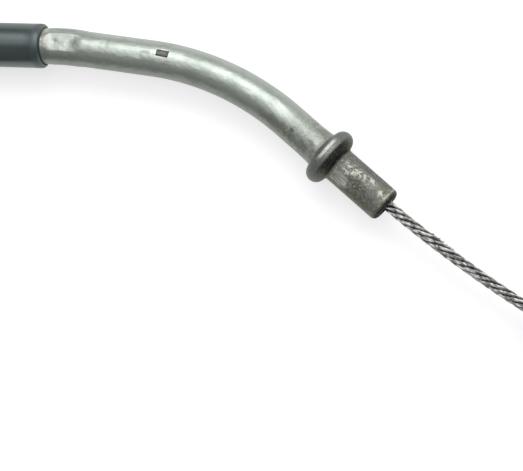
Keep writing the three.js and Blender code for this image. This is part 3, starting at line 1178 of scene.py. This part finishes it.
def jacket_finish():
    finish = Finish("casing vinyl", vinyl_dark)
    where = finish.straight()
    along = finish.axes(where)[0]
    wear = finish.noise(finish.stretched(where, (60, 420, 420)), 1.0, 4)
    rings = finish.noise(finish.stretched(where, (5200, 1, 1)), 1.0, 1)
    near_mouth = finish.band(along, 0.4 * mm, 1.7 * mm, 0.5 * mm)
    grain = finish.noise(where, 1500, 3)
    finish.coat(finish.between(wear, 0.4, 0.7), vinyl_light)
    finish.coat(near_mouth * finish.between(rings, 0.55, 0.7) * 0.6, vinyl_rubbed)
    finish.set(
        Roughness=0.24 + 0.22 * wear + near_mouth * 0.12,
        Specular_IOR_Level=1.0,
        Specular_Tint=(0.84, 1.0, 0.99, 1),
        IOR=1.63,
        Normal=finish.bump(grain * 0.25 + rings * near_mouth * 0.5, 0.05 * mm, 0.5),
    )
    return finish


dress(jacket, jacket_finish())

# %% [markdown]
# The rope's wires are lighter on their crowns and darkened in the valleys between them, partly
# with old grease and partly with painted shade. How far a place lies from the rope's axis tells
# the two apart.

# %% Rope finish
wire_dull = (0.17, 0.172, 0.165, 1)
wire_bright = (0.56, 0.565, 0.55, 1)
# Dark colour of old grease and of painted shade
grease_and_shade_dark = (0.028, 0.028, 0.026, 1)


def rope_finish():
    finish = Finish("rope steel", wire_dull, metallic=1.0)
    where = finish.straight()
    tone = finish.noise(finish.stretched(where, (0.5, 1, 1)), 1500, 3)
    # Grease and painted shade: darker the nearer a place lies to the rope's axis
    grease_and_shade = finish.between(finish.from_axis(where) + (tone - 0.5) * 0.3, 1.06, 0.8)
    finish.coat(finish.between(tone, 0.38, 0.62), wire_bright)
    finish.coat(grease_and_shade * 0.93, grease_and_shade_dark)
    finish.set(Roughness=0.13 + 0.14 * tone)
    return finish


rope_steel = rope_finish()
dress(lower_rope, rope_steel)
dress(upper_rope, rope_steel)

# %% Finishes of the fittings


def metal_finish(name, light, dark, roughness):
    finish = Finish(name, light, metallic=1.0)
    where = finish.own_place()
    blotches = finish.noise(where, 400, 4)
    grain = finish.noise(where, 2600, 2)
    finish.coat(finish.between(blotches, 0.35, 0.7), dark)
    finish.set(
        Roughness=roughness + 0.15 * blotches,
        Normal=finish.bump(grain, 0.03 * mm, 0.4),
    )
    return finish


def nylon_finish():
    finish = Finish("natural nylon", (0.72, 0.69, 0.6, 1))
    clouds = finish.noise(finish.own_place(), 300, 3)
    finish.coat(clouds, (0.8, 0.78, 0.7, 1))
    finish.set(Roughness=0.35 + 0.15 * clouds)
    return finish


cast_zinc = metal_finish("cast zinc", (0.45, 0.46, 0.45, 1), (0.32, 0.33, 0.32, 1), 0.4)
zinc_plate = metal_finish("zinc plate", (0.56, 0.58, 0.53, 1), (0.42, 0.44, 0.4, 1), 0.25)
spring_steel = metal_finish("spring steel", (0.36, 0.37, 0.38, 1), (0.25, 0.26, 0.27, 1), 0.4)
nylon = nylon_finish()
for barrel in (lower_barrel, upper_barrel):
    dress(barrel, cast_zinc)
dress(ferrule, zinc_plate)
for band in ties:
    dress(band, nylon)
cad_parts["casing_armour"].data.materials[0] = spring_steel.material
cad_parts["casing_liner"].data.materials[0] = nylon.material
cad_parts["inner_wire_run"].data.materials[0] = spring_steel.material

# %% [markdown]
# The cable lies on a plain white table. One broad soft lamp stands behind it and draws the long
# bright streak along the upper third of the tube. A larger one, higher up, lets that streak fade
# slowly, and the grey surroundings fill in the rest. The table's own glow whitens what the camera
# and the metal see of it.

# %% Table and lamps
table_grey = (0.46, 0.46, 0.46, 1)
table_glow = 0.66
surroundings = (0.34, 0.34, 0.34, 1)


def table_finish():
    finish = Finish("white table", table_grey)
    rays = finish.node("ShaderNodeLightPath", output="Is Camera Ray")
    mirrored = finish.node("ShaderNodeLightPath", output="Is Glossy Ray")
    through = finish.node("ShaderNodeLightPath", output="Is Transmission Ray")
    seen = rays + mirrored + through
    finish.set(
        Roughness=0.9,
        Specular_IOR_Level=0.0,
        Emission_Color=(1, 1, 1, 1),
        Emission_Strength=seen * table_glow,
    )
    return finish


bpy.ops.mesh.primitive_plane_add(size=6, location=(0, 0, -0.02 * mm))
table = bpy.context.view_layer.objects.active
table.name = "table"
dress(table, table_finish())


def lamp(name, power, size, place, aim):
    data = bpy.data.lights.new(name, "AREA")
    data.shape = "RECTANGLE"
    data.size, data.size_y = size
    data.energy = power
    holder = added(name, data)
    holder.location = place
    direction = np.array(aim) - np.array(place)
    flat = math.hypot(direction[0], direction[1])
    holder.rotation_euler = (
        math.atan2(flat, -direction[2]), 0, math.atan2(direction[1], direction[0]) - math.pi / 2,
    )


lamp("key", 2.0, (0.7, 0.36), (0.08, 0.38, 0.46), (0.02, 0, 0))
lamp("overhead", 4.0, (1.1, 0.9), (0.05, 0.3, 0.85), (0, 0, 0))

world = bpy.data.worlds.new("studio")
bpy.context.scene.world = world
world.use_nodes = True
world.node_tree.nodes["Background"].inputs["Color"].default_value = surroundings
